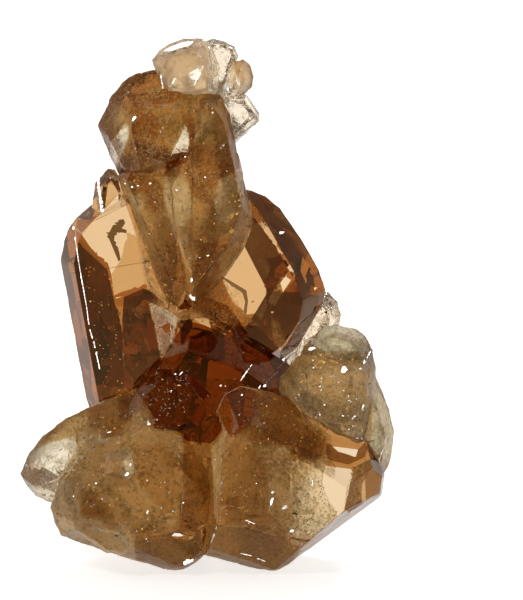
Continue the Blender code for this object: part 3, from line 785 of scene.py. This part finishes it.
def pale_crystals(name, node, finish, seat):
    places, corners = flat_faces(node)
    places = drawn_to_seat(places, seat)
    for _, _, outline in PALE_ZONES[node][1:]:
        places, corners = cut_along(places, corners, outline)
    places, corners = cut_small(places, corners, PALE_EDGE)
    across, outward = directions_of(places, corners)
    u, v, _ = from_front(places[corners].mean(axis=1))
    smoke, etched_face = np.zeros((2, len(corners)))
    for more, skin, outline in PALE_ZONES[node]:
        chosen = within(u, v, outline)
        smoke[chosen] = more
        etched_face[chosen] = skin
    _, etched = spread(corners, etched_face, len(places), 2)
    relief = tilted_plates(places, *PALE_PLATES, seed=11) + SWELL_HEIGHT * (1 + swell(places, 1.0, seed=12))
    depth = etched * np.clip(relief, 0, PALE_DEEPEST)
    worn = on_outer_edge(places, corners, across)
    depth += worn * PALE_WEAR * (1 + WEAR_VARIES * swell(places, 0.8, seed=13))
    sunk = places - outward * np.maximum(depth, 0)[:, None]
    piece = new_piece(name, sunk, corners, finish, tint_of(smoke, np.ones(len(smoke))), etched)
    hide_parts(node)
    return piece


def all_pale_crystals():
    brown_places, brown_corners = flat_faces("brown_cluster")
    seat = brown_places[brown_corners]
    pale = crystal_finish("pale_crystal", BROWN, PALE_DENSITY, PALE_GLEAM, PALE_GRAINS, PALE_DUST, 0.2)
    greenish = crystal_finish("greenish_crystal", GREENISH, GREENISH_DENSITY, GREENISH_GLEAM, GREENISH_GRAINS,
                              GREENISH_DUST, 0.4)
    return [pale_crystals("crown_crystals", "pale_crown", pale, seat),
            pale_crystals("slab_crystals", "pale_side_slab", greenish, seat),
            pale_crystals("bud_crystal", "pale_back_bud", pale, seat)]


pale_pieces = all_pale_crystals()

# Glints: white mirror plates for glints off tiny cleavage chips, pale strips for bright edges of growth
# steps, gold plates for light that comes back through the brown, all three painted glints and highlights, and
# dark inclusions. Each is a thin six-cornered plate, half sunk in the skin, and most are turned so that they
# catch the key lamp.

KEY_WAY = Vector((-0.245, -0.848, 0.471))  # halfway between the ways to the camera and to the key lamp
PLATE_THICKNESS = 0.03
PLATE_LIFT = 0.02  # how far a plate's middle stands out, and how much more for its width where it is tilted
TILT_LIFT = 0.4
LINE_STEP = 0.3  # from plate to plate along a line
LINE_GAP = 0.05  # the share of a line's plates that is left out
PLATE_OVERLAP = 1.6  # a plate's length against its step
LONGEST = 1.6  # how much longer than wide a strewn plate is at most
BOX_MARGIN = 0.03  # how far plates stay within the box of the solids
PLATE_CREASE = 0.1
DULL = 0.6  # how bright a plate's dull spots are
TOWER_FACE = [(-8.5, 40), (-6, 42), (-3.5, 40.5), (1.2, 40), (3.4, 31), (3, 28), (0.8, 26), (-1.5, 22.5),
              (-4, 24), (-6, 30), (-7, 34)]
LEFT_FOOT_FACE = [(-12.5, 3.5), (-14.5, 8), (-13, 12), (-8, 14), (-5, 14), (-2.3, 12), (-2, 4), (-6, 2.2)]
RIGHT_FOOT_FACE = [(0.8, 4), (0.6, 10), (1.5, 15), (6.5, 14.8), (9.5, 11.5), (9.5, 6.5), (7, 5), (6.5, 3.4)]
SLAB_FACE = [(7, 15.6), (8.6, 18.6), (13.6, 18.6), (13.8, 11.8), (12.6, 11.2), (8.6, 13)]
HEART_FACE = [(-6, 15), (-4, 18), (-1.5, 21), (4.5, 19.5), (6.5, 16.5), (4, 15.8), (1.5, 15), (0, 11.5),
              (-2, 12.2), (-4.5, 13)]
GLITTERING_PATCH = [(-6.3, 12), (-6.3, 14.5), (-4.2, 17.3), (-1.4, 17.4), (-1.2, 14.5), (-3.5, 12)]
PEACH_WINDOW = [(6.9, 3.3), (7, 5.2), (8.6, 7.6), (9.7, 8.6), (9.9, 6.6), (11, 5.3), (9.2, 3.4)]


class Skin:
    """The finished skins of all crystals, to be met by sight lines from the front."""

    def __init__(self, pieces):
        self.trees = []
        for piece in pieces:
            bm = bmesh.new()
            bm.from_mesh(piece.data)
            self.trees.append(BVHTree.FromBMesh(bm))
            bm.free()

    def at(self, u, v):
        """Place and facing of the skin at u and v, or None beside it."""
        start = (RIGHT * u + UP * v + LAYOUT_SHIFT - AHEAD * CAMERA_AWAY) * MM
        hits = [tree.ray_cast(start, AHEAD) for tree in self.trees]
        hits = [(away, np.array(hit) / MM, facing) for hit, facing, _, away in hits if hit]
        return min(hits, key=lambda hit: hit[0])[1:] if hits else None


def plates(name, middles, halves, widths, finish, seed):
    """Closed six-cornered plates as one piece.

    Corner k lies at the middle plus cos(60k) times the half length plus sin(60k) times the half width, each
    out by its own random share, once for the top and once for the bottom.
    """
    draw = np.random.default_rng(seed)
    count = len(middles)
    middles, halves, widths = (np.array(x, float)[:, None] for x in (middles, halves, widths))
    turn = np.arange(6) * math.pi / 3 + draw.uniform(-0.25, 0.25, (count, 6))
    out = draw.uniform(0.7, 1.1, (count, 6, 1))
    rim = middles + out * (np.cos(turn)[..., None] * halves + np.sin(turn)[..., None] * widths)
    up = np.cross(halves, widths)
    up *= PLATE_THICKNESS / 2 / np.linalg.norm(up, axis=2, keepdims=True)
    places = np.concatenate([rim + up, rim - up], axis=1).reshape(-1, 3)
    low, high = (np.array(corner) / MM for corner in solid_box)
    places = np.clip(places, low + BOX_MARGIN, high - BOX_MARGIN)
    ends = np.array([[0, 1, 2, 3, 4, 5], [11, 10, 9, 8, 7, 6]])
    sides = np.array([[k, 6 + k, 6 + (k + 1) % 6, (k + 1) % 6] for k in range(6)])
    base = 12 * np.arange(count)[:, None, None]
    faces = [*(ends + base).reshape(-1, 6).tolist(), *(sides + base).reshape(-1, 4).tolist()]
    return new_piece(name, places, faces, finish, edge_angle=PLATE_CREASE)


def plain_finish(name, colour, metallic, roughness):
    """A solid colour with dull spots."""
    material = bpy.data.materials.new(name)
    material.use_nodes = True
    tree = material.node_tree
    shader = tree.nodes["Principled BSDF"]
    where = add(tree, "ShaderNodeTexCoord").outputs["Object"]
    spots = add(tree, "ShaderNodeTexNoise", {"Vector": where, "Scale": 900.0}).outputs["Fac"]
    dull = tuple(DULL * c for c in colour)
    tree.links.new(ramp(tree, spots, [(0.35, dull), (0.55, colour)]), shader.inputs["Base Color"])
    shader.inputs["Metallic"].default_value = metallic
    shader.inputs["Roughness"].default_value = roughness
    return material


def laid(skin, draw, spots, wobble):
    """Middles, half lengths and half widths of plates on the skin, from spots (u, v, length, width, turn).

    Each plate is turned off the way of the glint by a random angle of about wobble degrees.
    """
    middles, halves, widths = [], [], []
    for u, v, length, width, turn in spots:
        met = skin.at(u, v)
        if met is None:
            continue
        place, skin_facing = met
        facing = KEY_WAY + Vector(draw.normal(size=3) * math.radians(wobble))
        facing.normalize()
        along = RIGHT * math.cos(turn) + UP * math.sin(turn)
        along = (along - facing * along.dot(facing)).normalized()
        tilt = math.sin(min(facing.angle(skin_facing), math.pi / 2))
        middles.append(place - np.array(AHEAD) * (PLATE_LIFT + TILT_LIFT * width * tilt))
        halves.append(along * length / 2)
        widths.append(facing.cross(along) * width / 2)
    return middles, halves, widths


def strewn(draw, fields):
    """Random spots in fields, given as count, outline, least and greatest size, and for some the longest."""
    spots = []
    for count, outline, small, large, *longest in fields:
        low, high = np.min(outline, axis=0), np.max(outline, axis=0)
        left = count
        while left:
            u, v = draw.uniform(low, high)
            if within(np.array([u]), np.array([v]), outline)[0]:
                size = draw.uniform(small ** 0.5, large ** 0.5) ** 2
                length = size * draw.uniform(1, *(longest or [LONGEST]))
                spots.append((u, v, length, size, draw.uniform(0, math.pi)))
                left -= 1
    return spots


def in_rows(draw, lines):
    """Spots one behind the other along lines, given as points, width, and for some the share left out."""
    spots = []
    for points, width, *gap in lines:
        for (u0, v0), (u1, v1) in zip(points, points[1:]):
            length = math.hypot(u1 - u0, v1 - v0)
            count = max(1, round(length / LINE_STEP))
            for k in range(count):
                if draw.random() > (gap or [LINE_GAP])[0]:
                    share = (k + 0.5) / count
                    u, v = u0 + (u1 - u0) * share, v0 + (v1 - v0) * share
                    size = (PLATE_OVERLAP * length / count, width * draw.uniform(0.7, 1.2))
                    spots.append((u, v, *size, math.atan2(v1 - v0, u1 - u0)))
    return spots


# Each spot below is (u, v, length, width, turn). Each line is its points, the width and, where it isn't
# LINE_GAP, the share left out. Each field is the count, the outline, the least and greatest width and, where
# it isn't LONGEST, how many times longer than wide the longest are.
BRIGHT_SPOTS = [
    (-1.15, 23.25, 0.95, 0.42, -1.0), (-11.2, 29.1, 0.5, 0.22, -1.2), (-1.18, 24.75, 0.5, 0.2, 1.3),
    (-2.9, 33.95, 0.5, 0.28, 0.4), (-2.05, 34.85, 0.32, 0.2, 0.5), (-1.75, 35, 0.2, 0.15, 0),
    (-4.7, 32.8, 0.3, 0.2, 0.5), (-5.7, 32.6, 0.22, 0.18, 0), (-6.2, 32.5, 0.25, 0.2, 0),
    (-6.8, 32.8, 0.2, 0.14, 0), (1.45, 35.95, 0.24, 0.2, 0), (-6, 38.2, 0.6, 0.3, 0.9),
    (0.15, 26.75, 0.3, 0.12, 0.3), (6.25, 28.7, 0.65, 0.26, 0.1), (11.5, 17.2, 0.62, 0.55, 1.2),
    (13.1, 14.1, 0.55, 0.2, 1.3), (8.85, 18.95, 0.85, 0.32, 0.25), (12.9, 17.3, 0.25, 0.15, 0),
    (12.4, 13.3, 0.25, 0.18, 1), (5.55, 7, 0.3, 0.26, 0), (5.5, 6.3, 0.9, 0.2, 1.4),
    (6.6, 5.75, 0.6, 0.4, 0.6), (8.9, 7.9, 0.9, 0.1, 1.5), (4.9, 15.85, 0.3, 0.22, 0.5),
    (4.45, 15.7, 0.55, 0.1, 1.1), (-4.9, 5.3, 0.45, 0.14, 1.3), (-4.75, 12.7, 0.45, 0.3, 0.5),
    (-2.1, 16.9, 0.45, 0.16, 0.8), (-2.6, 16.8, 0.22, 0.16, 0), (1.2, 15.85, 0.2, 0.18, 0),
    (1.6, 15.8, 0.12, 0.1, 0), (3, 15.1, 0.18, 0.16, 0), (-8.2, 11.9, 0.5, 0.12, 0.3),
    (-6.6, 8.5, 0.5, 0.3, 0.7), (-6.3, 9.3, 0.3, 0.15, 1.2), (7.15, 3.8, 0.42, 0.38, 0),
    (-2.5, 3.4, 1.2, 0.38, -0.1), (-9.2, 7.7, 0.2, 0.15, 0), (-1.9, 6.1, 0.2, 0.14, 0.4),
    (-13.7, 6.6, 0.4, 0.3, 0), (-15.2, 9.1, 0.25, 0.12, 0.7),
]
BRIGHT_LINES = [
    ([(-9.15, 33.3), (-8.75, 30.5)], 0.36, 0),
    ([(-11.05, 28.3), (-10.6, 25.4), (-10.1, 22.5), (-9.9, 21)], 0.11, 0),
    ([(-9.85, 20.6), (-9.45, 19.3), (-9.0, 17.2)], 0.13, 0.15),
    ([(2.5, 1.9), (3.8, 1.6)], 0.1),
    ([(4.2, 1.4), (4.9, 1.15)], 0.12),
    ([(-1.9, 0.95), (-0.3, 1.7)], 0.45, 0),
    ([(3.2, 4.7), (4.1, 4.35)], 0.08),
    ([(2.9, 16.3), (3.8, 17.6)], 0.12),
    ([(-3.6, 40.7), (-3.8, 41.9)], 0.1),
    ([(-3, 40.8), (-2.5, 41.6)], 0.08),
    ([(0.7, 40.6), (1.2, 41.4)], 0.1),
    ([(-1, 40.9), (-0.2, 42.6)], 0.06),
]
# a white mirror plate over the crown's top face: a painted highlight
CROWN_TOP_HIGHLIGHT = (-2.2, 44.25, 3.2, 0.7, 0.27)
BRIGHT_FIELDS = [
    (14, GLITTERING_PATCH, 0.03, 0.07, 5),
    (45, TOWER_FACE, 0.05, 0.13),
    (55, LEFT_FOOT_FACE, 0.05, 0.15),
    (35, RIGHT_FOOT_FACE, 0.05, 0.12),
    (75, SLAB_FACE, 0.05, 0.16),
    (8, HEART_FACE, 0.04, 0.08, 4),
]


def bright_glints(skin, draw):
    """The glints that the photograph shows one by one, and finer ones strewn between them."""
    named = BRIGHT_SPOTS + in_rows(draw, BRIGHT_LINES) + [CROWN_TOP_HIGHLIGHT]
    fine = strewn(draw, BRIGHT_FIELDS)
    named = laid(skin, draw, named, 2)
    fine = laid(skin, draw, fine, 10)
    # white mirror plates turned to the key lamp: painted glints
    shiny = plain_finish("bright_glint", (1.0, 0.96, 0.9), 1.0, 0.34)
    plates("bright_glints", *(one + other for one, other in zip(named, fine)), shiny, 1)


STEP_HIGHLIGHT_LINES = [
    ([(0.85, 13.6), (1.55, 15.1), (2.9, 15.8), (4.3, 15.5)], 0.09, 0),
    ([(1.1, 13), (1.5, 12.2), (1.6, 11.6), (1.3, 10.9)], 0.09, 0.3),
    ([(3.2, 32.4), (3.55, 31)], 0.12, 0),
    ([(5.9, 17.2), (7.4, 18.6)], 0.07),
    ([(4.9, 16), (6, 17)], 0.08),
    ([(-5.35, 26.8), (-5, 24.8), (-4.2, 23.4)], 0.12),
    ([(-12.6, 7.2), (-13.4, 8.4), (-14, 9.4)], 0.06),
]
FINE_STEP_HIGHLIGHTS = [
    [(-8.6, 10), (-6.9, 10.7), (-6.2, 10.2), (-5.8, 8.7), (-6.5, 8), (-7, 8.1)],
    [(-8.1, 2), (-8, 3.4), (-7.2, 4.3), (-6.5, 4), (-6, 3.1), (-6, 2.3)],
    [(-2.1, 5), (-1.9, 7), (-2.1, 8.3)], [(-5.2, 7), (-4.2, 5.9), (-3.2, 5.2)], [(-10.8, 5), (-10.6, 6.5)],
    [(-11.2, 10.4), (-10.7, 10.7), (-10.1, 10.6)], [(-9.6, 11.2), (-8.5, 11.1), (-7.3, 11.7), (-7.1, 11.2)],
    [(-6.4, 11.6), (-5.2, 12.2), (-4.5, 12.9)], [(-2.9, 10.2), (-1.9, 10.9), (-2.6, 11.8)],
    [(-14.05, 9.9), (-13.95, 9.3), (-13.2, 8.1)], [(-15.2, 8.8), (-14.7, 7.5), (-13.6, 7.4)],
    [(5.3, 8.4), (5.3, 5.4), (6.6, 4.1), (6.9, 3.1)], [(1.2, 5.6), (1.8, 5.9), (3.2, 5.6)],
    [(1, 4.7), (3, 4.2), (5, 3.6)], [(7, 14.8), (8, 13.7), (9, 12.6)],
    [(-3.7, 32.4), (-3.4, 31), (-2.6, 28.4), (-1.9, 26), (-1.6, 24.9)],
    [(-2.3, 39.6), (-3.5, 37.4), (-4.6, 35.6)], [(-6.4, 39.3), (-4.8, 39.4), (-2.6, 39.2)],
    [(-5, 34.9), (-3.6, 34.5)], [(-6.3, 38.9), (-6.2, 36.5), (-5.3, 34.5)], [(-8.7, 38.2), (-8, 39.3)],
    [(-8.3, 37.8), (-7.6, 39)],
]
FINE_STEP_WIDTH = 0.055
FINE_STEP_GAP = 0.35
HIGHLIGHT_FIELDS = [
    (90, GLITTERING_PATCH, 0.03, 0.07, 7),
    (60, LEFT_FOOT_FACE, 0.05, 0.16, 3),
]


def edge_highlights(skin, draw):
    """Painted highlights: pale strips on the edges of growth steps and of grown-on plates, and pale strokes
    strewn in fields.
    """
    edges = in_rows(draw, STEP_HIGHLIGHT_LINES)
    edges += in_rows(draw, [(points, FINE_STEP_WIDTH, FINE_STEP_GAP) for points in FINE_STEP_HIGHLIGHTS])
    edges += strewn(draw, HIGHLIGHT_FIELDS)
    # a pale matt colour on these strips stands in for light on the edges: painted highlights
    pale = plain_finish("edge_highlight", (0.62, 0.46, 0.36), 0.0, 0.5)
    plates("edge_highlights", *laid(skin, draw, edges, 9), pale, 2)


GOLD_SPOTS = [
    (-5.1, 27.5, 0.5, 0.22, 0), (-4.8, 26.5, 0.45, 0.25, -1), (-4.7, 25.75, 0.32, 0.24, 0),
    (-7.35, 21.9, 0.5, 0.36, 1.5), (2.2, 31.8, 0.45, 0.3, -0.8), (2.2, 30.1, 0.5, 0.24, 1.5),
    (2.15, 28.8, 0.5, 0.34, 0.5), (9.15, 24, 0.5, 0.3, 0.2), (8.9, 23.6, 0.4, 0.2, 1),
    (-0.8, 24.4, 0.35, 0.12, 0.7), (-3.4, 24.3, 0.3, 0.2, 0), (-3.4, 23.3, 0.5, 0.14, 0),
    (-0.35, 21.25, 0.28, 0.2, 0), (0.6, 20.95, 0.3, 0.22, 0), (-1.3, 3.15, 0.6, 0.36, 0.2),
    (-2.4, 3.35, 1.3, 0.36, -0.1), (5.55, 22, 0.3, 0.18, 0), (9.6, 17.9, 0.7, 0.2, 0.1),
    (10.5, 17.9, 0.4, 0.25, 0), (-7.4, 23.25, 0.6, 0.12, 0.2),
]
GOLD_LINES = [
    ([(-1, 24.2), (0.6, 26.2)], 0.05, 0.2),
    ([(-0.7, 3.9), (0.1, 4.3)], 0.1),
]
GOLD_FIELDS = [
    (60, [(1.8, 28.2), (1.8, 32.2), (3.2, 32.2), (4, 29.6), (3.2, 28.2)], 0.05, 0.2),
    (40, [(-4.8, 25), (-1.6, 25), (-1.4, 22.6), (-3, 22.6)], 0.05, 0.16),
    (45, [(9, 17.2), (9, 18.6), (11, 18.6), (11, 17.2)], 0.06, 0.18),
    (80, TOWER_FACE, 0.06, 0.15),
    (80, LEFT_FOOT_FACE, 0.06, 0.15),
    (80, RIGHT_FOOT_FACE, 0.06, 0.14),
    (90, SLAB_FACE, 0.06, 0.16),
    (60, [(-10.5, 26), (-8, 26), (-7, 20), (-7, 15), (-8.7, 15), (-10, 22)], 0.04, 0.14),
]


def golden_glints(skin, draw):
    """Painted glints: gold plates for small cracks and cleavages that send light back through the brown."""
    flecks = GOLD_SPOTS + in_rows(draw, GOLD_LINES) + strewn(draw, GOLD_FIELDS)
    # gold metal plates turned to the key lamp: painted glints for light sent back through the brown
    golden = plain_finish("golden_glint", (1.0, 0.62, 0.2), 1.0, 0.45)
    plates("golden_glints", *laid(skin, draw, flecks, 12), golden, 3)


DARK_LINES = [
    ([(7, 3.1), (8.7, 2.9)], 0.07, 0),
]
DARK_SPOTS = [
    (3.9, 22.9, 0.3, 0.12, 0.4), (-7.5, 3.35, 0.32, 0.2, -0.7), (-9, 3.8, 0.16, 0.1, 0),
    (7.45, 5.2, 0.7, 0.2, -0.2),
]
DARK_FIELDS = [
    (150, PEACH_WINDOW, 0.03, 0.12),
    (90, TOWER_FACE, 0.03, 0.12),
    (90, LEFT_FOOT_FACE, 0.03, 0.12),
    (120, RIGHT_FOOT_FACE, 0.03, 0.12),
    (14, [(1.6, 26), (4, 29), (5.5, 28.5), (4.6, 23)], 0.02, 0.06),
    (70, SLAB_FACE, 0.03, 0.12),
]


def dark_flakes(skin, draw):
    """Specks of dark inclusions at the skin."""
    flakes = in_rows(draw, DARK_LINES) + DARK_SPOTS + strewn(draw, DARK_FIELDS)
    umber = plain_finish("dark_flake", (0.085, 0.04, 0.016), 0.0, 0.8)
    plates("dark_flakes", *laid(skin, draw, flakes, 25), umber, 4)


all_skins = Skin([brown, *pale_pieces])
lots = np.random.default_rng(7)
for kind in (bright_glints, edge_highlights, golden_glints, dark_flakes):
    kind(all_skins, lots)
